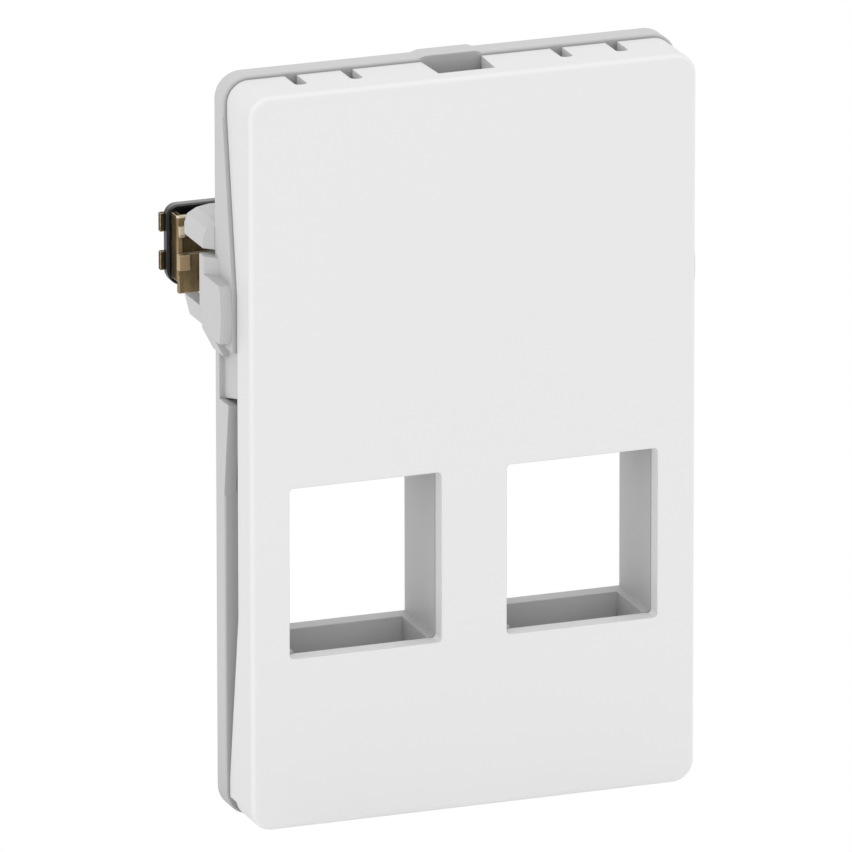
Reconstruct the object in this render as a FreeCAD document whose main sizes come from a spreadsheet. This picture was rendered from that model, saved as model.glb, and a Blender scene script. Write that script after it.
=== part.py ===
# Keystone faceplate: a snap-in insert for a wall box, for two keystone jacks side by side.
# A lift-off cover sits on a moulded base frame, which two sprung claws hold in the box.
# Frame: X to the right, Y to the back, Z up, in millimetres. The cover faces -Y, and the
# origin is the centre of the flange's rear face, which lies on the wall frame.
import FreeCAD, Part
import os
import Sketcher

doc = FreeCAD.newDocument("keystone_faceplate")

# ---------------------------------------------------------------- driving dimensions
driving = {
    # base frame: flange
    "flangeWidth": 45.0,
    "flangeHeight": 72.0,
    "flangeThick": 2.4,
    "flangeCorner": 2.5,
    "flangeRound": 0.2,
    "collarInset": 1.8,          # rear collar, in from the flange's edge
    "collarTall": 3.0,
    "collarWall": 1.2,
    "backRibThick": 1.0,
    "backRibTall": 2.0,
    "backRibOut": 7.5,
    "topPadWidth": 5.9,          # shallow pad on the flange's top edge
    "topPadRise": 0.16,
    # base frame: keystone ports
    "portPitch": 21.6,
    "portCentreUp": -10.68,
    "portWidth": 15.0,
    "portHeight": 16.4,
    "portWall": 1.2,
    "portBack": 1.13,            # behind the flange's rear face
    "catchWidth": 13.2,
    "catchDeep": 2.5,
    "lipThick": 1.75,
    # base frame: side ribs under the cover's relief
    "sideRibThick": 1.2,
    "sideRibRise": 2.4,
    "sideRibTop": 32.2,
    "sideRibCrest": 16.3,
    "tongueHigh": 10.1,
    "tongueLow": 4.7,
    "tongueInset": 0.47,
    "tongueFloor": 1.2,
    "tongueSlant": 1.05,
    "lowRibRise": 1.26,
    "lowRibEnd": -4.4,
    # base frame: claw block and sleeve
    "blockOut": 1.08,
    "blockHigh": 16.55,
    "blockLow": 10.9,
    "blockFootTop": 11.2,
    "blockFoot": 9.1,
    "blockBack": 0.5,
    "blockRise": 1.9,
    "blockBulge": 0.44,
    "stopThick": 1.2,
    "stopHigh": 18.28,
    "sleeveOut": 0.84,
    "sleeveHigh": 21.45,
    "sleeveLow": 10.9,
    "sleeveBack": 6.0,
    "sleeveWall": 1.3,
    "sleeveNoseTall": 1.55,
    "sleeveNoseStep": 0.3,
    "sleeveNoseFall": 0.7,
    "sleeveBrowIn": 1.2,
    "sleeveBrowFall": 0.2,
    "sleeveNoseDeep": 2.4,
    "sleeveHeel": 0.5,
    "sleeveHeelTall": 2.0,
    "windowHigh": 18.8,
    "windowLow": 13.0,
    # claws
    "clawSheet": 0.5,
    "clawArmOut": 17.5,
    "clawArmTall": 5.0,
    "clawCentreUp": 16.5,
    "clawRoot": 1.9,             # how far the arm reaches into the flange
    "clawSlack": 0.3,            # slack round the arm in the flange's slot
    "clawSwing": 1.05,           # room inboard of the arm, for its swing
    "frontLeafBack": 8.1,
    "frontLeafHigh": 19.85,
    "frontLeafLow": 12.3,
    "leafFootInset": 0.15,
    "webLow": 13.5,
    "rearLeafLow": 13.4,
    "rearLeafOut": 22.9,
    "clawOut": 23.3,
    "toothOut": 24.1,
    "toothTall": 1.8,
    "toothPitch": 3.75,
    "toothCentreUp": 16.77,
    "leafWindowHigh": 17.85,
    "leafWindowLow": 16.1,
    "leafWindowDeep": 0.3,
    "tabRise": 0.5,
    "tabWide": 1.1,
    "tabTall": 1.45,
    "upperTabInset": 0.15,
    "upperTabWide": 0.5,
    "upperTabTall": 1.0,
    "upperTabRise": 0.35,
    "bendRound": 0.25,
    # claw plates
    "plateThick": 1.0,
    "plateBack": 10.6,
    "plateOut": 23.75,
    "plateHigh": 20.5,
    "plateLow": 12.6,
    "plateTopRound": 1.1,
    "plateLowRound": 1.6,
    "plateEdge": 0.15,
    "plateSlack": 0.05,
    # cover
    "coverInsetSide": 0.35,
    "coverInsetTop": 0.3,
    "coverGap": 0.25,
    "coverDepth": 6.05,
    "coverCorner": 2.1,
    "coverRound": 0.5,
    "coverWall": 1.3,
    "coverFront": 1.65,
    "coverInnerCorner": 0.9,
    "seatGap": 0.1,              # between the port boxes and the cover's inside
    "apertureMargin": 0.05,      # cover aperture past the port, at each side
    "apertureDrop": 0.2,         # and below the port's lip
    "apertureCorner": 0.4,
    "reliefDepth": 2.5,
    "reliefShort": 15.7,
    "reliefLong": 32.2,
    "notchRear": 6.0,
    "notchFront": 5.6,
    "notchLength": 4.15,
    "slitWidth": 1.2,
    "slitLength": 3.15,
    "slitNear": 10.4,
    "slitFar": 15.9,
    "footRecess": 1.6,
    "legWidth": 5.0,
    "legThick": 1.2,
    "legOut": 13.5,
    "legUp": 30.6,
    "legReach": 0.9,             # behind the flange's rear face
    "legBarb": 0.4,
    "legSlack": 0.3,
}

sheet = doc.addObject("Spreadsheet::Sheet", "dims")
for row, (alias, value) in enumerate(driving.items(), start=1):
    sheet.set("A%d" % row, alias)
    sheet.set("B%d" % row, str(value))
    sheet.setAlias("B%d" % row, alias)
doc.recompute()

# Sizes that several sub-parts share, as expressions on the sheet.
halfWide = "dims.flangeWidth / 2"
halfHigh = "dims.flangeHeight / 2"
ribFace = "(dims.flangeThick + dims.sideRibRise)"
coverRear = "(dims.flangeThick + dims.coverGap)"
coverFace = "(dims.flangeThick + dims.coverGap + dims.coverDepth)"
coverInside = "(dims.flangeThick + dims.coverGap + dims.coverDepth - dims.coverFront)"
coverHalfWide = "(dims.flangeWidth / 2 - dims.coverInsetSide)"
coverHalfHigh = "(dims.flangeHeight / 2 - dims.coverInsetTop)"
portFront = "(dims.flangeThick + dims.coverGap + dims.coverDepth - dims.coverFront - dims.seatGap)"
portLeft = "(dims.portPitch / 2 - dims.portWidth / 2)"
portRight = "(dims.portPitch / 2 + dims.portWidth / 2)"
portLow = "(dims.portCentreUp - dims.portHeight / 2)"
portHigh = "(dims.portCentreUp + dims.portHeight / 2)"
plateFront = "(dims.plateBack - dims.plateThick)"
armOuter = "(dims.clawArmOut + dims.clawSheet / 2)"
armInner = "(dims.clawArmOut - dims.clawSheet / 2)"


# ---------------------------------------------------------------- helpers
def number(text):
    value = sheet.evalExpression(text)
    return float(getattr(value, "Value", value))


def new_body(label):
    body = doc.addObject("PartDesign::Body", label)
    body.Label = label
    return body


def spread(corners, rounds):
    """The outline's points in order: a rounded corner becomes the two ends of its arc."""
    points = []
    for index, (across, up) in enumerate(corners):
        if index not in rounds:
            points.append((across, up, None))
            continue
        radius = rounds[index]
        for turn, other in enumerate((corners[index - 1], corners[(index + 1) % len(corners)])):
            side = number(other[0]) - number(across)
            rise = number(other[1]) - number(up)
            if abs(side) > abs(rise):
                point = (across + (" + " if side > 0 else " - ") + radius, up)
            else:
                point = (across, up + (" + " if rise > 0 else " - ") + radius)
            points.append((point[0], point[1], (index, radius) if turn == 0 else None))
    return points


def outline(body, name, role, corners, lift="0", rounds=None):
    """A closed outline on one of the body's origin planes, each corner tied to the sheet."""
    sketch = body.newObject("Sketcher::SketchObject", name)
    plane = [item for item in body.Origin.OriginFeatures if item.Role == role][0]
    sketch.AttachmentSupport = [(plane, "")]
    sketch.MapMode = "FlatFace"
    if lift != "0":
        sketch.setExpression("AttachmentOffset.Base.z", lift)
    points = spread(corners, rounds or {})
    places = [FreeCAD.Vector(number(across), number(up), 0) for across, up, arc in points]
    count = len(points)
    ends = []
    for index, (across, up, arc) in enumerate(points):
        first = places[index]
        last = places[(index + 1) % count]
        if arc is None:
            sketch.addGeometry(Part.LineSegment(first, last), False)
            ends.append((1, 2))
            continue
        corner = FreeCAD.Vector(number(corners[arc[0]][0]), number(corners[arc[0]][1]), 0)
        centre = first + last - corner
        circle = Part.Circle(centre, FreeCAD.Vector(0, 0, 1), number(arc[1]))
        begin = circle.parameter(first)
        finish = circle.parameter(last)
        if (finish - begin) % 6.283185307 < 3.2:
            sketch.addGeometry(Part.ArcOfCircle(circle, begin, finish), False)
            ends.append((1, 2))
        else:
            sketch.addGeometry(Part.ArcOfCircle(circle, finish, begin), False)
            ends.append((2, 1))
        tie = sketch.addConstraint(Sketcher.Constraint("Radius", index, number(arc[1])))
        sketch.setExpression("Constraints[%d]" % tie, arc[1])
    for index in range(count):
        after = (index + 1) % count
        sketch.addConstraint(Sketcher.Constraint("Coincident", index, ends[index][1], after, ends[after][0]))
    for index, (across, up, arc) in enumerate(points):
        spot = ends[index][0]
        for kind, text, value in (("DistanceX", across, places[index].x), ("DistanceY", up, places[index].y)):
            tie = sketch.addConstraint(Sketcher.Constraint(kind, -1, 1, index, spot, value))
            sketch.setExpression("Constraints[%d]" % tie, text)
    doc.recompute()
    return sketch


def box_outline(body, name, role, left, right, low, high, lift="0"):
    corners = [(left, low), (right, low), (right, high), (left, high)]
    return outline(body, name, role, corners, lift)


def pad(body, name, sketch, length, back=False, middle=False):
    feature = body.newObject("PartDesign::Pad", name)
    feature.Profile = sketch
    feature.setExpression("Length", length)
    feature.Reversed = back
    feature.Midplane = middle
    sketch.Visibility = False
    doc.recompute()
    return feature


def pocket(body, name, sketch, length=None, back=False, middle=False):
    before = body.Shape.Volume
    feature = body.newObject("PartDesign::Pocket", name)
    feature.Profile = sketch
    if length is None:
        feature.Type = 1
    else:
        feature.setExpression("Length", length)
    feature.Reversed = back
    feature.Midplane = middle
    sketch.Visibility = False
    doc.recompute()
    if body.Shape.Volume > before - 1e-6:
        raise RuntimeError(name + " cuts nothing")
    return feature


def mirror(body, name, originals):
    feature = body.newObject("PartDesign::Mirrored", name)
    feature.Originals = originals
    plane = [item for item in body.Origin.OriginFeatures if item.Role == "YZ_Plane"][0]
    feature.MirrorPlane = (plane, [""])
    body.Tip = feature
    doc.recompute()
    return feature


def edges_where(feature, test):
    names = []
    for index, edge in enumerate(feature.Shape.Edges, start=1):
        if test(edge):
            names.append("Edge%d" % index)
    if not names:
        raise RuntimeError("no edge fits on " + feature.Name)
    return names


def round_edges(body, name, base, test, radius, kind="Fillet"):
    feature = body.newObject("PartDesign::" + kind, name)
    feature.Base = (base, edges_where(base, test))
    feature.setExpression("Radius" if kind == "Fillet" else "Size", radius)
    doc.recompute()
    return feature


def runs_along(edge, axis):
    box = edge.BoundBox
    spans = {"X": box.XLength, "Y": box.YLength, "Z": box.ZLength}
    others = [spans[key] for key in spans if key != axis]
    return spans[axis] > 1e-3 and max(others) < 1e-3


def near(value, target, slack=0.02):
    return abs(value - target) < slack


# ---------------------------------------------------------------- base frame
def make_base():
    body = new_body("base_frame")

    # The flange, with its rounded corners.
    sketch = box_outline(body, "flangeOutline", "XZ_Plane", "-" + halfWide, halfWide, "-" + halfHigh, halfHigh)
    flange = pad(body, "flange", sketch, "dims.flangeThick")
    corner = number(halfWide)
    rounded = round_edges(body, "flangeCorners", flange,
                          lambda edge: runs_along(edge, "Y") and near(abs(edge.CenterOfMass.x), corner),
                          "dims.flangeCorner")
    round_edges(body, "flangeEdges", rounded, lambda edge: near(edge.BoundBox.YLength, 0), "dims.flangeRound")

    # A shallow pad on the top edge, with sloping ends.
    sketch = outline(body, "topPadOutline", "XZ_Plane", [
        ("-dims.topPadWidth / 2", halfHigh + " - dims.topPadRise"),
        ("dims.topPadWidth / 2", halfHigh + " - dims.topPadRise"),
        ("dims.topPadWidth / 2", halfHigh),
        ("dims.topPadWidth / 2 - 3 * dims.topPadRise", halfHigh + " + dims.topPadRise"),
        ("-dims.topPadWidth / 2 + 3 * dims.topPadRise", halfHigh + " + dims.topPadRise"),
        ("-dims.topPadWidth / 2", halfHigh)])
    pad(body, "topPad", sketch, "dims.flangeThick")

    # The collar behind the flange, and two stiffening ribs inside it.
    wide = "(dims.flangeWidth / 2 - dims.collarInset)"
    high = "(dims.flangeHeight / 2 - dims.collarInset)"
    sketch = box_outline(body, "collarOutline", "XZ_Plane", "-" + wide, wide, "-" + high, high)
    pad(body, "collar", sketch, "dims.collarTall", back=True)
    sketch = box_outline(body, "collarInsideOutline", "XZ_Plane",
                         "-" + wide + " + dims.collarWall", wide + " - dims.collarWall",
                         "-" + high + " + dims.collarWall", high + " - dims.collarWall")
    pocket(body, "collarInside", sketch, "dims.collarTall")
    sketch = box_outline(body, "crossRibOutline", "XZ_Plane",
                         "-" + wide + " + dims.collarWall / 2", wide + " - dims.collarWall / 2",
                         "dims.sleeveLow - 4 * dims.backRibThick", "dims.sleeveLow - 3 * dims.backRibThick")
    pad(body, "crossRib", sketch, "dims.backRibTall", back=True)
    sketch = box_outline(body, "uprightRibOutline", "XZ_Plane", "dims.backRibOut - dims.backRibThick / 2",
                         "dims.backRibOut + dims.backRibThick / 2", "dims.sleeveLow - 3.5 * dims.backRibThick",
                         high + " - dims.collarWall / 2")
    upright = pad(body, "uprightRib", sketch, "dims.backRibTall", back=True)
    mirror(body, "secondUprightRib", [upright])

    # Side ribs: they rise under the relief of the cover's side walls.
    sketch = outline(body, "sideRibOutline", "YZ_Plane", [
        ("-dims.flangeThick / 2", "dims.sideRibTop"),
        ("-dims.flangeThick", "dims.sideRibTop"),
        ("-" + ribFace, "dims.sideRibCrest"),
        ("-" + ribFace, "dims.tongueLow"),
        ("-dims.flangeThick - dims.lowRibRise", "dims.tongueLow"),
        ("-dims.flangeThick", "dims.lowRibEnd"),
        ("-dims.flangeThick / 2", "dims.lowRibEnd")],
        lift="-" + halfWide)
    side_rib = pad(body, "sideRib", sketch, "dims.sideRibThick")
    sketch = box_outline(body, "tongueOutline", "YZ_Plane", "-" + ribFace + " - dims.tongueInset",
                         "-dims.tongueFloor", "dims.tongueLow", "dims.tongueHigh", lift="-" + halfWide)
    tongue = pocket(body, "tongueRecess", sketch, "dims.tongueInset", back=True)

    sketch = outline(body, "tongueEndOutline", "YZ_Plane", [
        ("-dims.tongueFloor", "dims.tongueLow"),
        ("-" + ribFace + " - dims.tongueInset", "dims.tongueLow"),
        ("-" + ribFace + " - dims.tongueInset", "dims.tongueLow + dims.tongueSlant")],
        lift="-" + halfWide)
    tongue_end = pocket(body, "tongueEnd", sketch, "dims.sideRibThick", back=True)

    # Claw block: a ledge proud of the flange's side, with a sloping foot and a bulged front.
    block_out = "-" + halfWide + " - dims.blockOut"
    block_in = "-" + halfWide + " + dims.sideRibThick"
    sketch = outline(body, "blockOutline", "XZ_Plane", [
        (block_out, "dims.blockHigh"),
        (block_out, "dims.blockFootTop"),
        ("-" + halfWide, "dims.blockFoot"),
        (block_in, "dims.blockFoot"),
        (block_in, "dims.blockHigh")],
        lift="-dims.blockBack")
    block = pad(body, "clawBlock", sketch, "dims.flangeThick + dims.blockBack")
    front = "-dims.flangeThick - dims.blockRise"
    span = "(dims.blockHigh - dims.blockLow)"
    profile = [("-dims.flangeThick / 2", "dims.blockLow"), (front, "dims.blockLow")]
    for step in (1, 2, 3, 4, 5):
        share = step / 6.0
        profile.append((front + " - dims.blockBulge * %.4f" % (4 * share * (1 - share)),
                        "dims.blockLow + %.4f * " % share + span))
    profile = profile + [(front, "dims.blockHigh"), ("-dims.flangeThick / 2", "dims.blockHigh")]
    sketch = outline(body, "bulgeOutline", "YZ_Plane", profile, lift=block_out)
    bulge = pad(body, "blockBulge", sketch, "dims.blockOut + dims.sideRibThick")

    # The sleeve that guides the claw, with its faceted nose and sloping heel.
    sleeve_out = "-" + halfWide + " - dims.sleeveOut"
    cavity_in = "-" + armInner + " + dims.clawSwing"
    sketch = outline(body, "sleeveOutline", "XZ_Plane", [
        (sleeve_out + " + dims.sleeveHeel", "dims.sleeveLow"),
        (cavity_in + " + dims.sleeveWall", "dims.sleeveLow"),
        (cavity_in + " + dims.sleeveWall", "dims.sleeveHigh"),
        (sleeve_out + " + dims.sleeveNoseDeep", "dims.sleeveHigh"),
        (sleeve_out + " + dims.sleeveBrowIn", "dims.sleeveHigh - dims.sleeveBrowFall"),
        (sleeve_out + " + dims.sleeveNoseStep", "dims.sleeveHigh - dims.sleeveNoseFall"),
        (sleeve_out, "dims.sleeveHigh - dims.sleeveNoseTall"),
        (sleeve_out, "dims.sleeveLow + dims.sleeveHeelTall")])
    sleeve = pad(body, "clawSleeve", sketch, "dims.sleeveBack", back=True)
    mirror(body, "rightSide", [side_rib, tongue, tongue_end, block, bulge, sleeve])

    # Inside the sleeve: the cavity, the side window, and the slot for the claw's root.
    cavity_low = "dims.sleeveLow + dims.sleeveWall"
    cavity_high = "dims.sleeveHigh - dims.sleeveWall"
    sketch = box_outline(body, "cavityOutline", "XZ_Plane", sleeve_out + " + dims.sleeveWall", cavity_in,
                         cavity_low, cavity_high)
    cavity = pocket(body, "sleeveCavity", sketch, "dims.sleeveBack")
    sketch = box_outline(body, "windowOutline", "XZ_Plane", sleeve_out + " - dims.sleeveWall",
                         sleeve_out + " + 2 * dims.sleeveWall", "dims.windowLow", "dims.windowHigh",
                         lift="-dims.sleeveBack")
    window = pocket(body, "sleeveWindow", sketch, "dims.sleeveBack", back=True)
    slot_half = "(dims.clawSheet / 2 + dims.clawSlack)"
    sketch = box_outline(body, "rootSlotOutline", "XZ_Plane",
                         "-dims.clawArmOut - " + slot_half, "-dims.clawArmOut + " + slot_half,
                         "dims.clawCentreUp - dims.clawArmTall / 2 - dims.clawSlack",
                         "dims.clawCentreUp + dims.clawArmTall / 2 + dims.clawSlack")
    slot = pocket(body, "rootSlot", sketch, back=True)
    # The nose runs down to the flange's side in a slope, not a step.
    slope = "(dims.sleeveOut + dims.sleeveWall)"
    sketch = outline(body, "noseSlopeOutline", "XY_Plane", [
        ("-" + halfWide, "0"),
        ("-" + halfWide + " - " + slope, slope),
        ("-" + halfWide + " - " + slope, "0")],
        lift="dims.windowHigh")
    nose_slope = pocket(body, "noseSlope", sketch, "dims.sleeveHigh - dims.windowHigh + dims.sleeveWall",
                        back=True)
    mirror(body, "rightInside", [cavity, window, slot, nose_slope])

    # The stop in front of the window, a little lower than it, flush with the block and sloped the same way.
    sketch = outline(body, "stopOutline", "XY_Plane", [
        (block_in, "dims.stopThick"),
        (block_out, "dims.stopThick"),
        (block_out, "0"),
        ("-" + halfWide, "-dims.blockOut"),
        (block_in, "-dims.blockOut")],
        lift="dims.windowLow")
    stop = pad(body, "clawStop", sketch, "dims.stopHigh - dims.windowLow")
    mirror(body, "rightStop", [stop])

    # Keystone ports: a box through the flange, its passage, and the two catch recesses.
    sketch = box_outline(body, "portBoxOutline", "XZ_Plane", portLeft + " - dims.portWall",
                         portRight + " + dims.portWall",
                         portLow + " - dims.catchDeep - dims.portWall",
                         portHigh + " + dims.catchDeep + dims.portWall", lift="-dims.portBack")
    port_box = pad(body, "portBox", sketch, portFront + " + dims.portBack")
    sketch = box_outline(body, "passageOutline", "XZ_Plane", portLeft, portRight, portLow, portHigh,
                         lift="-dims.portBack")
    passage = pocket(body, "portPassage", sketch, portFront + " + dims.portBack", back=True)
    sketch = box_outline(body, "catchOutline", "XZ_Plane", "dims.portPitch / 2 - dims.catchWidth / 2",
                         "dims.portPitch / 2 + dims.catchWidth / 2", portLow + " - dims.catchDeep",
                         portHigh + " + dims.catchDeep", lift="dims.lipThick - dims.portBack")
    catch = pocket(body, "catchRecess", sketch, portFront + " + dims.portBack - dims.lipThick", back=True)
    mirror(body, "secondPort", [port_box, passage, catch])

    # Slots for the cover's snap legs.
    leg_slots = []
    for name, sign in (("upperLegSlot", "1"), ("lowerLegSlot", "-1")):
        middle = sign + " * dims.legUp"
        reach = "(dims.legThick / 2 + dims.legBarb + dims.legSlack)"
        sketch = box_outline(body, name + "Outline", "XZ_Plane",
                             "dims.legOut - dims.legWidth / 2 - dims.legSlack",
                             "dims.legOut + dims.legWidth / 2 + dims.legSlack",
                             middle + " - " + reach, middle + " + " + reach)
        leg_slots.append(pocket(body, name, sketch, back=True))
    mirror(body, "leftLegSlots", leg_slots)
    return body


# ---------------------------------------------------------------- claws
def make_claw(label, sign):
    body = new_body(label)
    side = sign + " * "
    rear_skin = "(dims.plateBack + dims.clawSheet)"
    leaf_skin = "(dims.frontLeafBack + dims.clawSheet)"
    tooth_low = "(dims.toothCentreUp - dims.toothPitch / 2 - dims.toothTall / 2)"
    tooth_high = "(dims.toothCentreUp + dims.toothPitch / 2 - dims.toothTall / 2)"

    # The arm, from its root in the flange back to the rear leaf.
    sketch = box_outline(body, "armOutline", "YZ_Plane", "-dims.clawRoot", rear_skin,
                         "dims.clawCentreUp - dims.clawArmTall / 2", "dims.clawCentreUp + dims.clawArmTall / 2",
                         lift=side + "dims.clawArmOut")
    pad(body, "arm", sketch, "dims.clawSheet", middle=True)

    # The rear leaf lies behind the plate, and its edge has the two teeth.
    sketch = outline(body, "rearLeafOutline", "XZ_Plane", [
        (side + armInner, "dims.rearLeafLow"),
        (side + "dims.rearLeafOut", "dims.rearLeafLow"),
        (side + "dims.rearLeafOut", tooth_low),
        (side + "dims.toothOut", tooth_low),
        (side + "dims.toothOut", tooth_low + " + dims.toothTall"),
        (side + "dims.rearLeafOut", tooth_low + " + dims.toothTall"),
        (side + "dims.rearLeafOut", tooth_high),
        (side + "dims.toothOut", tooth_high),
        (side + "dims.toothOut", tooth_high + " + dims.toothTall"),
        (side + "dims.rearLeafOut", tooth_high + " + dims.toothTall"),
        (side + "dims.rearLeafOut", "dims.frontLeafHigh"),
        (side + armInner, "dims.frontLeafHigh")],
        lift="-" + rear_skin)
    pad(body, "rearLeaf", sketch, "dims.clawSheet")

    # The front leaf, and its side web turned back on to the plate, from one folded outline.
    sketch = outline(body, "frontLeafOutline", "XY_Plane", [
        (side + armInner, "dims.frontLeafBack"),
        (side + "dims.clawOut", "dims.frontLeafBack"),
        (side + "dims.clawOut", plateFront),
        (side + "(dims.clawOut - dims.clawSheet)", plateFront),
        (side + "(dims.clawOut - dims.clawSheet)", leaf_skin),
        (side + armInner, leaf_skin)],
        lift="dims.webLow", rounds={1: "dims.bendRound"})
    pad(body, "frontLeaf", sketch, "dims.frontLeafHigh - dims.webLow")
    sketch = box_outline(body, "leafFootOutline", "XZ_Plane", side + armInner,
                         side + "(dims.clawOut - dims.leafFootInset)", "dims.frontLeafLow",
                         "dims.webLow + dims.clawSheet", lift="-" + leaf_skin)
    pad(body, "leafFoot", sketch, "dims.clawSheet")

    # A coined recess in the front leaf, with a tab turned forwards below it and a small one above.
    sketch = box_outline(body, "leafWindowOutline", "XZ_Plane", side + "(dims.clawOut - dims.clawSheet)",
                         side + "(" + armOuter + " + dims.clawSheet)", "dims.leafWindowLow",
                         "dims.leafWindowHigh", lift="-dims.frontLeafBack - dims.leafWindowDeep")
    pocket(body, "leafWindow", sketch, "dims.leafWindowDeep + dims.clawSheet", back=True)
    for name, out, wide, low, tall, rise in (
            ("lowerTab", "dims.clawOut", "dims.tabWide", "(dims.leafWindowLow - dims.tabTall)", "dims.tabTall",
             "dims.tabRise"),
            ("upperTab", "(dims.clawOut - dims.upperTabInset)", "dims.upperTabWide", "dims.leafWindowHigh",
             "dims.upperTabTall", "dims.upperTabRise")):
        sketch = box_outline(body, name + "Outline", "XZ_Plane", side + out,
                             side + "(" + out + " - " + wide + ")", low, low + " + " + tall,
                             lift="-dims.frontLeafBack - dims.clawSheet / 2")
        pad(body, name, sketch, rise + " + dims.clawSheet / 2")
    return body


def make_plate(label, sign):
    body = new_body(label)
    side = sign + " * "
    sketch = box_outline(body, "plateOutline", "XZ_Plane", side + "dims.plateOut",
                         side + "(" + armOuter + " + dims.plateSlack)", "dims.plateLow", "dims.plateHigh",
                         lift="-dims.plateBack")
    plate = pad(body, "plate", sketch, "dims.plateThick")
    out = number("dims.plateOut")
    top = round_edges(body, "plateTopCorners", plate,
                      lambda edge: runs_along(edge, "Y") and near(edge.CenterOfMass.z, number("dims.plateHigh"))
                      and near(abs(edge.CenterOfMass.x), out),
                      "dims.plateTopRound")
    low = round_edges(body, "plateLowCorners", top,
                      lambda edge: runs_along(edge, "Y") and near(edge.CenterOfMass.z, number("dims.plateLow"))
                      and near(abs(edge.CenterOfMass.x), out),
                      "dims.plateLowRound")
    front = -number(plateFront)
    round_edges(body, "plateRim", low,
                lambda edge: near(edge.BoundBox.YMin, -front) and near(edge.BoundBox.YMax, -front)
                and edge.BoundBox.XMax - edge.BoundBox.XMin + edge.BoundBox.ZLength > 0.01,
                "dims.plateEdge", kind="Chamfer")
    return body


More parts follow.
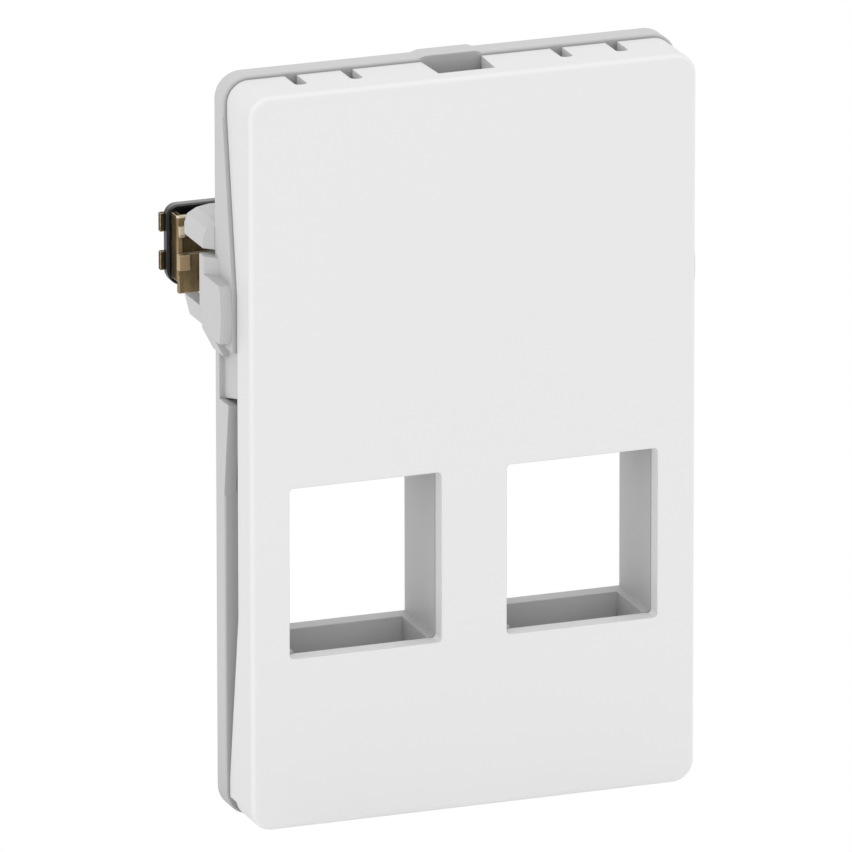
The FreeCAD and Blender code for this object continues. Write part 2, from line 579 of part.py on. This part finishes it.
# ---------------------------------------------------------------- cover
def make_cover():
    body = new_body("front_cover")

    # The outside: a shallow block with rounded corners and a rounded front edge.
    sketch = box_outline(body, "coverOutline", "XZ_Plane", "-" + coverHalfWide, coverHalfWide,
                         "-" + coverHalfHigh, coverHalfHigh, lift=coverRear)
    block = pad(body, "coverBlock", sketch, "dims.coverDepth")
    corners = round_edges(body, "coverCorners", block, lambda edge: runs_along(edge, "Y"), "dims.coverCorner")
    face = -number(coverFace)
    round_edges(body, "coverFrontEdge", corners,
                lambda edge: near(edge.BoundBox.YMin, face) and near(edge.BoundBox.YMax, face),
                "dims.coverRound")

    # The inside, leaving the walls and the front.
    sketch = box_outline(body, "coverInsideOutline", "XZ_Plane", "-" + coverHalfWide + " + dims.coverWall",
                         coverHalfWide + " - dims.coverWall", "-" + coverHalfHigh + " + dims.coverWall",
                         coverHalfHigh + " - dims.coverWall", lift=coverRear)
    inside = pocket(body, "coverInside", sketch, "dims.coverDepth - dims.coverFront", back=True)
    inner_wide = number(coverHalfWide + " - dims.coverWall")
    round_edges(body, "coverInnerCorners", inside,
                lambda edge: runs_along(edge, "Y") and near(abs(edge.CenterOfMass.x), inner_wide),
                "dims.coverInnerCorner")

    # The two apertures.
    sketch = box_outline(body, "apertureOutline", "XZ_Plane", portLeft + " - dims.apertureMargin",
                         portRight + " + dims.apertureMargin", portLow + " - dims.apertureDrop",
                         portHigh + " + dims.apertureMargin", lift=coverInside)
    aperture = pocket(body, "aperture", sketch, "dims.coverFront", back=True)
    both = mirror(body, "secondAperture", [aperture])
    aperture_sides = (number(portLeft + " - dims.apertureMargin"), number(portRight + " + dims.apertureMargin"))
    round_edges(body, "apertureCorners", both,
                lambda edge: runs_along(edge, "Y") and near(edge.Length, number("dims.coverFront"))
                and min(abs(abs(edge.CenterOfMass.x) - value) for value in aperture_sides) < 0.02,
                "dims.apertureCorner")

    # The relief in the rear edge of both side walls.
    sketch = outline(body, "reliefOutline", "YZ_Plane", [
        ("-" + coverRear + " + dims.coverGap", "-dims.reliefLong"),
        ("-" + coverRear, "-dims.reliefLong"),
        ("-" + coverRear + " - dims.reliefDepth", "-dims.reliefShort"),
        ("-" + coverRear + " - dims.reliefDepth", "dims.reliefShort"),
        ("-" + coverRear, "dims.reliefLong"),
        ("-" + coverRear + " + dims.coverGap", "dims.reliefLong")])
    pocket(body, "sideRelief", sketch, "2 * " + halfWide, middle=True)

    # The top wall: a notch for a screwdriver, and four slits.
    above = coverHalfHigh + " + dims.coverWall"
    sketch = outline(body, "notchOutline", "XY_Plane", [
        ("-dims.notchRear / 2", "-" + coverRear + " + dims.coverGap"),
        ("dims.notchRear / 2", "-" + coverRear + " + dims.coverGap"),
        ("dims.notchFront / 2", "-" + coverRear + " - dims.notchLength"),
        ("-dims.notchFront / 2", "-" + coverRear + " - dims.notchLength")], lift=above)
    pocket(body, "notch", sketch, "2.5 * dims.coverWall")
    slits = []
    for name, place in (("nearSlit", "dims.slitNear"), ("farSlit", "dims.slitFar")):
        sketch = box_outline(body, name + "Outline", "XY_Plane", place + " - dims.slitWidth / 2",
                             place + " + dims.slitWidth / 2", "-" + coverRear + " - dims.slitLength",
                             "-" + coverRear + " + dims.coverGap", lift=above)
        slits.append(pocket(body, name, sketch, "2.5 * dims.coverWall"))
    slitted = mirror(body, "leftSlits", slits)
    slit_end = -number(coverRear + " + dims.slitLength")
    round_edges(body, "slitEnds", slitted,
                lambda edge: runs_along(edge, "Z") and near(edge.CenterOfMass.y, slit_end),
                "dims.slitWidth * 0.4")

    # The bottom wall is shorter than the others.
    sketch = box_outline(body, "footOutline", "YZ_Plane", "-" + coverRear + " - dims.footRecess",
                         "-" + coverRear + " + dims.coverGap", "-" + coverHalfHigh + " - dims.coverWall",
                         "-" + coverHalfHigh + " + dims.coverCorner * 0.8")
    pocket(body, "footRecess", sketch, "2 * " + halfWide, middle=True)

    # Snap legs, each with a barb, reaching through the base frame.
    legs = []
    for name, sign in (("upperLeg", "1"), ("lowerLeg", "-1")):
        side = sign + " * "
        sketch = outline(body, name + "Outline", "YZ_Plane", [
            ("-" + coverInside + " - dims.coverFront / 2", side + "(dims.legUp - dims.legThick / 2)"),
            ("dims.legReach", side + "(dims.legUp - dims.legThick / 2)"),
            ("dims.legReach", side + "(dims.legUp + dims.legThick / 2)"),
            ("2 * dims.legBarb - dims.legReach / 2", side + "(dims.legUp + dims.legThick / 2 + dims.legBarb)"),
            ("dims.legSlack / 2", side + "(dims.legUp + dims.legThick / 2)"),
            ("-" + coverInside + " - dims.coverFront / 2", side + "(dims.legUp + dims.legThick / 2)")],
            lift="dims.legOut")
        legs.append(pad(body, name, sketch, "dims.legWidth", middle=True))
    mirror(body, "leftLegs", legs)
    return body


# ---------------------------------------------------------------- build and export
bodies = [
    make_base(),
    make_cover(),
    make_claw("left_claw", "-1"),
    make_claw("right_claw", "1"),
    make_plate("left_claw_plate", "-1"),
    make_plate("right_claw_plate", "1"),
]
doc.recompute()

for item in doc.Objects:
    if "Invalid" in item.State or "Error" in item.State:
        raise RuntimeError("failed: " + item.Name)
for body in bodies:
    if body.Shape.isNull() or not body.Shape.isValid():
        raise RuntimeError("bad shape: " + body.Label)

os.makedirs("parts", exist_ok=True)
for body in bodies:
    body.Shape.exportStep("parts/" + body.Label + ".step")
    box = body.Shape.BoundBox
    print("%-18s solids %d  volume %8.1f  X %.2f..%.2f  Y %.2f..%.2f  Z %.2f..%.2f" % (
        body.Label, len(body.Shape.Solids), body.Shape.Volume,
        box.XMin, box.XMax, box.YMin, box.YMax, box.ZMin, box.ZMax))
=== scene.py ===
# Keystone faceplate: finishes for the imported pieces, and the studio round them.
# Metres, X to the right, Y to the back, Z up. The cover faces -Y.
import math
import bpy
from mathutils import Matrix, Vector


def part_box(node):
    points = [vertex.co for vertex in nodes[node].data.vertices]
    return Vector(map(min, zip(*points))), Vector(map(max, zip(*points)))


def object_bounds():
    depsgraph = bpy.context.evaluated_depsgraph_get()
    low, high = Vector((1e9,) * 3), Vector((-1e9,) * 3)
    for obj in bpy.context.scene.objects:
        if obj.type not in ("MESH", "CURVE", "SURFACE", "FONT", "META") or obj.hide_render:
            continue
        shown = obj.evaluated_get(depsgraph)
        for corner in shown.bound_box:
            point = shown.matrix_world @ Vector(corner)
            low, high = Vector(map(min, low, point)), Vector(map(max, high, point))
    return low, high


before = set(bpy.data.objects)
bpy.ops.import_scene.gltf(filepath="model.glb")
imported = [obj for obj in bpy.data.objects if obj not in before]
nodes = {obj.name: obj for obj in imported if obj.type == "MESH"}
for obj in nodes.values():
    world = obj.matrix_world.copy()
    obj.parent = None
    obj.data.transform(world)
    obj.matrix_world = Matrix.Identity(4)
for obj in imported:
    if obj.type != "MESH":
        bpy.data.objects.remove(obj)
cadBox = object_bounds()
scene = bpy.context.scene
print("frame loaded:", ", ".join(sorted(nodes)))


# another node's output is linked to the socket, and a plain value is set on it
def feed(tree, socket, value):
    if isinstance(value, bpy.types.NodeSocket):
        tree.links.new(value, socket)
    else:
        socket.default_value = value


# a node's settings go by their own names, and its inputs by theirs with _ for a space
def addNode(tree, kind, **values):
    node = tree.nodes.new(kind)
    for key, value in values.items():
        if hasattr(node, key):
            setattr(node, key, value)
        else:
            feed(tree, node.inputs[key.replace("_", " ")], value)
    return node


def calculate(tree, operation, *values):
    node = addNode(tree, "ShaderNodeMath", operation=operation)
    for socket, value in zip(node.inputs, values):
        feed(tree, socket, value)
    return node.outputs["Value"]


# low up to start, high from full on, and a straight slope between them
def rangeMask(tree, value, start, full, low=0.0, high=1.0):
    mask = addNode(tree, "ShaderNodeMapRange", Value=value, From_Min=start, From_Max=full,
                   To_Min=low, To_Max=high)
    return mask.outputs["Result"]


def overlay(tree, mask, under, over):
    layer = addNode(tree, "ShaderNodeMix", data_type="RGBA", Factor=mask, A=under, B=over)
    return layer.outputs["Result"]


def colourRamp(tree, value, ends, colours):
    ramp = addNode(tree, "ShaderNodeValToRGB", Fac=value)
    for element, end, colour in zip(ramp.color_ramp.elements, ends, colours):
        element.position = end
        element.color = colour
    return ramp.outputs["Color"]


def addNoise(tree, place, scale, detail, roughness):
    noise = addNode(tree, "ShaderNodeTexNoise", Vector=place, Scale=scale, Detail=detail, Roughness=roughness)
    return noise.outputs["Fac"]


# a pattern that is read at this place is drawn out along Z where the share is under 1
def drawnOut(tree, place, share):
    stretch = addNode(tree, "ShaderNodeMapping", Vector=place, Scale=(1.0, 1.0, share))
    return stretch.outputs["Vector"]


def objectPlace(tree):
    return tree.nodes.new("ShaderNodeTexCoord").outputs["Object"]


def faceNormal(tree):
    return tree.nodes.new("ShaderNodeNewGeometry").outputs["Normal"]


def addSockets(group, side, kind, *names):
    for name in names:
        group.interface.new_socket(name, in_out=side, socket_type=kind)


def emptyMaterial(name):
    material = bpy.data.materials.new(name)
    material.use_nodes = True
    material.node_tree.nodes.clear()
    return material


def newMaterial(name):
    material = emptyMaterial(name)
    tree = material.node_tree
    output = tree.nodes.new("ShaderNodeOutputMaterial")
    shader = tree.nodes.new("ShaderNodeBsdfPrincipled")
    feed(tree, output.inputs["Surface"], shader.outputs["BSDF"])
    return material, tree, shader


# the fine relief of a finish, over edges that a small radius softens
def addRelief(tree, shader, height, look):
    soften = addNode(tree, "ShaderNodeBevel", samples=6, Radius=look["edgeRadius"])
    bump = addNode(tree, "ShaderNodeBump", Strength=look["grainStrength"], Distance=look["grainDepth"],
                   Height=height, Normal=soften.outputs["Normal"])
    feed(tree, shader.inputs["Normal"], bump.outputs["Normal"])


# what all the moulded plastic shares
moulding = {
    "flowScale": 38.0, "flowShare": 0.35,               # broad streaks from the flow of the plastic
    "flowFrom": 0.3, "flowTo": 0.75, "flowAmount": 0.35,
    "closedWithin": 0.016, "closedAt": 0.1,             # walls this near make a hollow that is painted darker, as painted shade
    "slantFull": 0.2,                                   # 0.25 is a face halfway between the front and a side
    "roughnessSpread": 0.12,                            # the most that the grain adds to the roughness
}


# spark-eroded grain, flow shading, painted shade in the hollows, and a painted edge tone for slanting faces
def makeMouldedGroup(look):
    group = bpy.data.node_groups.new("mouldedSurface", "ShaderNodeTree")
    addSockets(group, "INPUT", "NodeSocketColor", "Colour", "Dust Colour", "Recess Colour", "Edge Colour")
    addSockets(group, "INPUT", "NodeSocketFloat", "Recess Dust", "Grain Scale", "Roughness")
    addSockets(group, "OUTPUT", "NodeSocketColor", "Colour")
    addSockets(group, "OUTPUT", "NodeSocketFloat", "Roughness", "Height")
    given = group.nodes.new("NodeGroupInput").outputs
    result = group.nodes.new("NodeGroupOutput").inputs
    place = objectPlace(group)
    grain = addNoise(group, place, given["Grain Scale"], detail=3.0, roughness=0.6)
    flowPlace = drawnOut(group, place, look["flowShare"])
    flow = addNoise(group, flowPlace, look["flowScale"], detail=2.0, roughness=0.5)
    flowMask = rangeMask(group, flow, look["flowFrom"], look["flowTo"], high=look["flowAmount"])
    colour = overlay(group, flowMask, given["Colour"], given["Dust Colour"])
    # painted shade: where walls stand near, the colour is painted towards the painted shade colour
    closed = addNode(group, "ShaderNodeAmbientOcclusion", samples=8, only_local=False,
                     Distance=look["closedWithin"])
    paintedShade = rangeMask(group, closed.outputs["AO"], 1.0, look["closedAt"], high=given["Recess Dust"])
    colour = overlay(group, paintedShade, colour, given["Recess Colour"])
    # the square of how far a face looks forwards, times what that leaves of 1
    facing = addNode(group, "ShaderNodeSeparateXYZ", Vector=faceNormal(group)).outputs["Y"]
    forwards = calculate(group, "MULTIPLY", facing, facing)
    sideways = calculate(group, "SUBTRACT", 1.0, forwards)
    slanting = calculate(group, "MULTIPLY", forwards, sideways)
    # painted light on slanting faces: a painted highlight on the cover's rounded edges, painted shade on the
    # base's
    edge = rangeMask(group, slanting, 0.0, look["slantFull"])
    feed(group, result["Colour"], overlay(group, edge, colour, given["Edge Colour"]))
    rough = calculate(group, "MULTIPLY_ADD", grain, look["roughnessSpread"], given["Roughness"])
    feed(group, result["Roughness"], rough)
    feed(group, result["Height"], grain)
    return group


mouldedGroup = makeMouldedGroup(moulding)


def mouldedPlastic(name, look):
    material, tree, shader = newMaterial(name)
    surface = addNode(tree, "ShaderNodeGroup", node_tree=mouldedGroup,
                      Colour=look["colour"], Dust_Colour=look["dustColour"],
                      Recess_Colour=look["paintedShadeColour"], Recess_Dust=look["paintedShadeAmount"],
                      Edge_Colour=look["paintedEdgeTone"], Grain_Scale=look["grainScale"],
                      Roughness=look["roughness"])
    feed(tree, shader.inputs["Base Color"], surface.outputs["Colour"])
    feed(tree, shader.inputs["Roughness"], surface.outputs["Roughness"])
    addRelief(tree, shader, surface.outputs["Height"], look)
    shader.inputs["IOR"].default_value = look["ior"]
    shader.inputs["Specular IOR Level"].default_value = look["specular"]
    return material


# what all the lighter metal edges share, partly rubbed and partly painted highlight
wearAndHighlight = {
    "edgeRadius": 0.00014,
    "agreeFlat": 0.995, "agreeFull": 0.86,              # how well the rounded normal agrees with the flat one
    "speckleFrom": 0.3, "speckleTo": 0.55, "leastEdgeShare": 0.35,
}


# where the rounded normal leaves the flat one, the edge is made lighter in speckles, partly rubbed bare and
# partly painted highlight
def makeEdgeGroup(look):
    group = bpy.data.node_groups.new("wornHighlitEdge", "ShaderNodeTree")
    addSockets(group, "INPUT", "NodeSocketFloat", "Speckle Scale", "Amount")
    addSockets(group, "OUTPUT", "NodeSocketFloat", "Mask")
    given = group.nodes.new("NodeGroupInput").outputs
    result = group.nodes.new("NodeGroupOutput").inputs
    rounded = addNode(group, "ShaderNodeBevel", samples=6, Radius=look["edgeRadius"])
    agree = addNode(group, "ShaderNodeVectorMath", operation="DOT_PRODUCT")
    feed(group, agree.inputs[0], rounded.outputs["Normal"])
    feed(group, agree.inputs[1], faceNormal(group))
    edge = rangeMask(group, agree.outputs["Value"], look["agreeFlat"], look["agreeFull"])
    speckle = addNoise(group, objectPlace(group), given["Speckle Scale"], detail=3.0, roughness=0.6)
    broken = rangeMask(group, speckle, look["speckleFrom"], look["speckleTo"], low=look["leastEdgeShare"])
    wornAndHighlit = calculate(group, "MULTIPLY", edge, broken)
    feed(group, result["Mask"], calculate(group, "MULTIPLY", wornAndHighlit, given["Amount"]))
    return group


edgeGroup = makeEdgeGroup(wearAndHighlight)


def wornHighlitEdge(tree, look):
    group = addNode(tree, "ShaderNodeGroup", node_tree=edgeGroup,
                    Speckle_Scale=look["edgeSpeckle"], Amount=look["edgeWearAndHighlight"])
    return group.outputs["Mask"]


# both claws, of rolled spring bronze
claw = {
    "dark": (0.048, 0.029, 0.010, 1), "light": (0.125, 0.082, 0.034, 1),
    # a lighter copy of the strip for its front leaf, painted as lit
    "litFrontDark": (0.20, 0.145, 0.070, 1), "litFrontLight": (0.46, 0.33, 0.18, 1),
    # painted light for the raised faces, a painted glint, and lighter edges partly worn and partly painted
    # highlight
    "litRaised": (0.54, 0.385, 0.225, 1), "paintedGlint": (0.86, 0.78, 0.60, 1), "bareAndHighlit": (0.85, 0.76, 0.56, 1),
    "roughness": 0.32, "roughnessSpread": 0.25, "specular": 0.04, "metallic": 0.2,
    "rollScale": 2100.0, "rollShare": 0.06,             # fine streaks up the strip
    "streakFrom": 0.35, "streakTo": 0.65, "streakDepth": 0.35,
    "tarnishScale": 330.0, "tarnishEnds": (0.32, 0.68),
    "grainStrength": 0.35, "grainDepth": 0.00002, "edgeRadius": 0.00012,
    "edgeWearAndHighlight": 1.0, "edgeSpeckle": 2600.0,
    "armTo": 0.00075, "headFrom": 0.00115,              # outwards from the arm's inner face
    "litFrontFrom": 0.00264, "litFrontTo": 0.00284,       # forwards from the claw's back
    "tabFrom": 0.0031, "tabTo": 0.0033,                 # forwards from the claw's back
    "foldFrom": 0.00202, "foldTo": 0.00212,             # along |X| - Y, from the claw's outer back corner
    "endFrom": 0.00025, "endTo": 0.00015,               # down from the claw's top
    "upperTabFrom": 0.00185, "upperTabTo": 0.00165,     # down from the claw's top
}


# where each finish and each painted light lies on a claw, from 0 to 1, worked out from the claw's own box
def clawMasks(tree, place, look):
    low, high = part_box("left_claw")
    inner = -high.x
    outer = -low.x
    back = high.y
    top = high.z
    axes = addNode(tree, "ShaderNodeSeparateXYZ", Vector=place).outputs
    outward = calculate(tree, "ABSOLUTE", axes["X"])
    reach = calculate(tree, "SUBTRACT", outward, axes["Y"])
    head = rangeMask(tree, outward, inner + look["armTo"], inner + look["headFrom"])
    front = rangeMask(tree, axes["Y"], back - look["litFrontFrom"], back - look["litFrontTo"])
    tabs = rangeMask(tree, axes["Y"], back - look["tabFrom"], back - look["tabTo"])
    fold = rangeMask(tree, reach, outer - back + look["foldFrom"], outer - back + look["foldTo"])
    end = rangeMask(tree, axes["Z"], top - look["endFrom"], top - look["endTo"])
    upper = rangeMask(tree, axes["Z"], top - look["upperTabFrom"], top - look["upperTabTo"])
    litFront = calculate(tree, "MULTIPLY", front, head)
    litRaised = calculate(tree, "MULTIPLY", calculate(tree, "MAXIMUM", fold, tabs), head)
    leafEnd = calculate(tree, "MULTIPLY", end, litFront)
    upperTab = calculate(tree, "MULTIPLY", upper, tabs)
    paintedGlint = calculate(tree, "MULTIPLY", calculate(tree, "MAXIMUM", leafEnd, upperTab), head)
    return litFront, litRaised, paintedGlint


def rolledBronze(name, look):
    material, tree, shader = newMaterial(name)
    place = objectPlace(tree)
    litFront, litRaised, paintedGlint = clawMasks(tree, place, look)
    # painted shade and light: the strip is painted darker towards the back, in its shade, and its front leaf
    # lighter, as lit
    tarnish = addNoise(tree, place, look["tarnishScale"], detail=4.0, roughness=0.6)
    back = colourRamp(tree, tarnish, look["tarnishEnds"], (look["dark"], look["light"]))
    front = colourRamp(tree, tarnish, look["tarnishEnds"], (look["litFrontDark"], look["litFrontLight"]))
    strip = overlay(tree, litFront, back, front)
    rollPlace = drawnOut(tree, place, look["rollShare"])
    roll = addNoise(tree, rollPlace, look["rollScale"], detail=4.0, roughness=0.65)
    streak = rangeMask(tree, roll, look["streakFrom"], look["streakTo"], low=1.0 - look["streakDepth"])
    streaked = addNode(tree, "ShaderNodeVectorMath", operation="SCALE", Scale=streak)
    feed(tree, streaked.inputs[0], strip)
    # the fold and the tabs are painted lighter where they face the light, and the leaf's end and its upper
    # tab get a painted glint
    colour = overlay(tree, litRaised, streaked.outputs["Vector"], look["litRaised"])
    # painted glint on the leaf's end and its upper tab
    colour = overlay(tree, paintedGlint, colour, look["paintedGlint"])
    # lighter edges, partly rubbed bare and partly painted highlight
    colour = overlay(tree, wornHighlitEdge(tree, look), colour, look["bareAndHighlit"])
    feed(tree, shader.inputs["Base Color"], colour)
    rough = calculate(tree, "MULTIPLY_ADD", roll, look["roughnessSpread"], look["roughness"])
    feed(tree, shader.inputs["Roughness"], rough)
    addRelief(tree, shader, roll, look)
    shader.inputs["Metallic"].default_value = look["metallic"]
    shader.inputs["Specular IOR Level"].default_value = look["specular"]
    return material


# both plates that the claws hold, of blackened steel
plate = {
    "dark": (0.003, 0.003, 0.0035, 1), "light": (0.012, 0.012, 0.013, 1),
    "bareAndHighlit": (0.09, 0.09, 0.095, 1), "paintedTopSheen": (0.42, 0.42, 0.42, 1),
    "roughness": 0.14, "roughnessSpread": 0.2, "specular": 0.22,
    "mottleScale": 900.0, "mottleEnds": (0.35, 0.7),
    "sheenFrom": 0.45, "sheenTo": 1.0, "sheenAmount": 0.46,        # by how far a face looks up
    "grainStrength": 0.3, "grainDepth": 0.00001, "edgeRadius": 0.0002,
    "edgeWearAndHighlight": 0.5, "edgeSpeckle": 1900.0,
}


def blackenedSteel(name, look):
    material, tree, shader = newMaterial(name)
    mottle = addNoise(tree, objectPlace(tree), look["mottleScale"], detail=5.0, roughness=0.7)
    colour = colourRamp(tree, mottle, look["mottleEnds"], (look["dark"], look["light"]))
    # lighter edges, partly rubbed bare and partly painted highlight
    colour = overlay(tree, wornHighlitEdge(tree, look), colour, look["bareAndHighlit"])
    # painted sheen: what faces up is painted lighter, as it catches the light
    upward = addNode(tree, "ShaderNodeSeparateXYZ", Vector=faceNormal(tree)).outputs["Z"]
    paintedSheen = rangeMask(tree, upward, look["sheenFrom"], look["sheenTo"], high=look["sheenAmount"])
    colour = overlay(tree, paintedSheen, colour, look["paintedTopSheen"])
    feed(tree, shader.inputs["Base Color"], colour)
    rough = calculate(tree, "MULTIPLY_ADD", mottle, look["roughnessSpread"], look["roughness"])
    feed(tree, shader.inputs["Roughness"], rough)
    addRelief(tree, shader, mottle, look)
    shader.inputs["Specular IOR Level"].default_value = look["specular"]
    return material


# the front cover, white, with a painted highlight along its rounded edges
cover = {
    "colour": (0.80, 0.80, 0.80, 1), "dustColour": (0.785, 0.785, 0.785, 1),
    "paintedShadeColour": (0.60, 0.60, 0.60, 1), "paintedShadeAmount": 0.05, "paintedEdgeTone": (0.85, 0.85, 0.85, 1),
    "roughness": 0.38, "specular": 0.4, "ior": 1.49,
    "grainScale": 5200.0, "grainStrength": 0.12, "grainDepth": 0.00002, "edgeRadius": 0.00012,
}

# the base frame, of a duller plastic, with deep painted shade in its hollows and a darker painted edge tone
base = {
    "colour": (0.60, 0.60, 0.60, 1), "dustColour": (0.57, 0.57, 0.57, 1),
    "paintedShadeColour": (0.42, 0.42, 0.42, 1), "paintedShadeAmount": 0.9, "paintedEdgeTone": (0.555, 0.555, 0.555, 1),
    "roughness": 0.42, "specular": 0.4, "ior": 1.49,
    "grainScale": 4200.0, "grainStrength": 0.15, "grainDepth": 0.00002, "edgeRadius": 0.00015,
}


def dress(nodeName, material):
    mesh = nodes[nodeName].data
    mesh.materials.clear()
    mesh.materials.append(material)


dress("front_cover", mouldedPlastic("whiteMoulding", cover))
dress("base_frame", mouldedPlastic("paleMoulding", base))
bronze = rolledBronze("springBronze", claw)
steel = blackenedSteel("blackPlate", plate)
for side in ("left", "right"):
    dress(side + "_claw", bronze)
    dress(side + "_claw_plate", steel)
print("finishes on the pieces")


# camera, floor and air
studio = {
    "azimuth": 20.37, "elevation": 17.288, "roll": -0.061,      # degrees
    "distance": 1.6416, "sideShift": -0.001412, "upShift": -0.000774,
    "lens": 740.5, "sensorWidth": 36.0,                         # millimetres
    "frameShift": -0.000587,                                    # a share of the picture's width
    "nearest": 0.01, "furthest": 50.0,
    "floorSize": 6.0, "floorDrop": 0.0002,                      # the floor lies just clear of the part
    "floorColour": (0.98, 0.98, 0.98, 1), "white": (1.0, 1.0, 1.0, 1),
    "airStrength": 0.915,
}


def viewAxes(look):
    turn = math.radians(look["azimuth"])
    tilt = math.radians(look["elevation"])
    roll = math.radians(look["roll"])
    right = Vector((math.cos(turn), -math.sin(turn), 0))
    ahead = Vector((math.sin(turn) * math.cos(tilt), math.cos(turn) * math.cos(tilt), -math.sin(tilt)))
    up = Vector((math.sin(turn) * math.sin(tilt), math.cos(turn) * math.sin(tilt), math.cos(tilt)))
    rolledRight = right * math.cos(roll) + up * math.sin(roll)
    rolledUp = up * math.cos(roll) - right * math.sin(roll)
    return rolledRight, rolledUp, ahead


def placeCamera(look):
    right, up, ahead = viewAxes(look)
    data = bpy.data.cameras.new("studioCamera")
    data.lens = look["lens"]
    data.sensor_width = look["sensorWidth"]
    data.shift_x = look["frameShift"]
    data.clip_start = look["nearest"]
    data.clip_end = look["furthest"]
    camera = bpy.data.objects.new("studioCamera", data)
    scene.collection.objects.link(camera)
    place = right * look["sideShift"] + up * look["upShift"] - ahead * look["distance"]
    turn = Matrix((right, up, -ahead)).transposed().to_4x4()
    camera.matrix_world = Matrix.Translation(place) @ turn
    scene.camera = camera


placeCamera(studio)


# 1 for the camera's rays, and for those that metal and glass send on
def seenRays(tree):
    ray = tree.nodes.new("ShaderNodeLightPath")
    seen = ray.outputs["Is Camera Ray"]
    for kind in ("Is Glossy Ray", "Is Transmission Ray"):
        seen = calculate(tree, "MAXIMUM", seen, ray.outputs[kind])
    return seen


# one shader lights the part, and the other is what those rays see
def mixSeen(tree, outputKind, lighting, seen):
    output = tree.nodes.new(outputKind)
    mix = addNode(tree, "ShaderNodeMixShader", Fac=seenRays(tree))
    feed(tree, mix.inputs[1], lighting)
    feed(tree, mix.inputs[2], seen)
    feed(tree, output.inputs["Surface"], mix.outputs["Shader"])


def paperMaterial(look):
    material = emptyMaterial("studioPaper")
    tree = material.node_tree
    matt = addNode(tree, "ShaderNodeBsdfDiffuse", Color=look["floorColour"])
    white = addNode(tree, "ShaderNodeEmission", Color=look["white"], Strength=1.0)
    mixSeen(tree, "ShaderNodeOutputMaterial", matt.outputs["BSDF"], white.outputs["Emission"])
    return material


def addFloor(look):
    height = cadBox[0][2] - look["floorDrop"]
    bpy.ops.object.select_all(action="DESELECT")
    bpy.ops.mesh.primitive_plane_add(size=look["floorSize"], location=(0, 0, height))
    floor = bpy.context.object
    floor.name = "studioFloor"
    bpy.ops.object.transform_apply(location=True, rotation=True, scale=True)
    floor.data.materials.append(paperMaterial(look))
    return floor


addFloor(studio)

# big soft lamps, each aimed at the middle of the part
windows = {
    "frontWindow": {"place": (-0.5, -1.3, 0.45), "size": 1.4, "power": 2.45},
    "topWindow": {"place": (-0.2, 0.1, 1.2), "size": 1.2, "power": 1.2},
}


def addWindow(name, look):
    data = bpy.data.lights.new(name, "AREA")
    data.shape = "SQUARE"
    data.size = look["size"]
    data.energy = look["power"]
    lamp = bpy.data.objects.new(name, data)
    scene.collection.objects.link(lamp)
    lamp.location = look["place"]
    aim = -Vector(look["place"])
    lamp.rotation_euler = aim.to_track_quat("-Z", "Y").to_euler()


for name, look in windows.items():
    addWindow(name, look)


def fillAir(look):
    world = bpy.data.worlds.new("studioAir")
    world.use_nodes = True
    tree = world.node_tree
    tree.nodes.clear()
    soft = addNode(tree, "ShaderNodeBackground", Color=look["white"], Strength=look["airStrength"])
    white = addNode(tree, "ShaderNodeBackground", Color=look["white"], Strength=1.0)
    mixSeen(tree, "ShaderNodeOutputWorld", soft.outputs["Background"], white.outputs["Background"])
    scene.world = world


fillAir(studio)
scene.view_settings.view_transform = "Standard"
print("studio set")
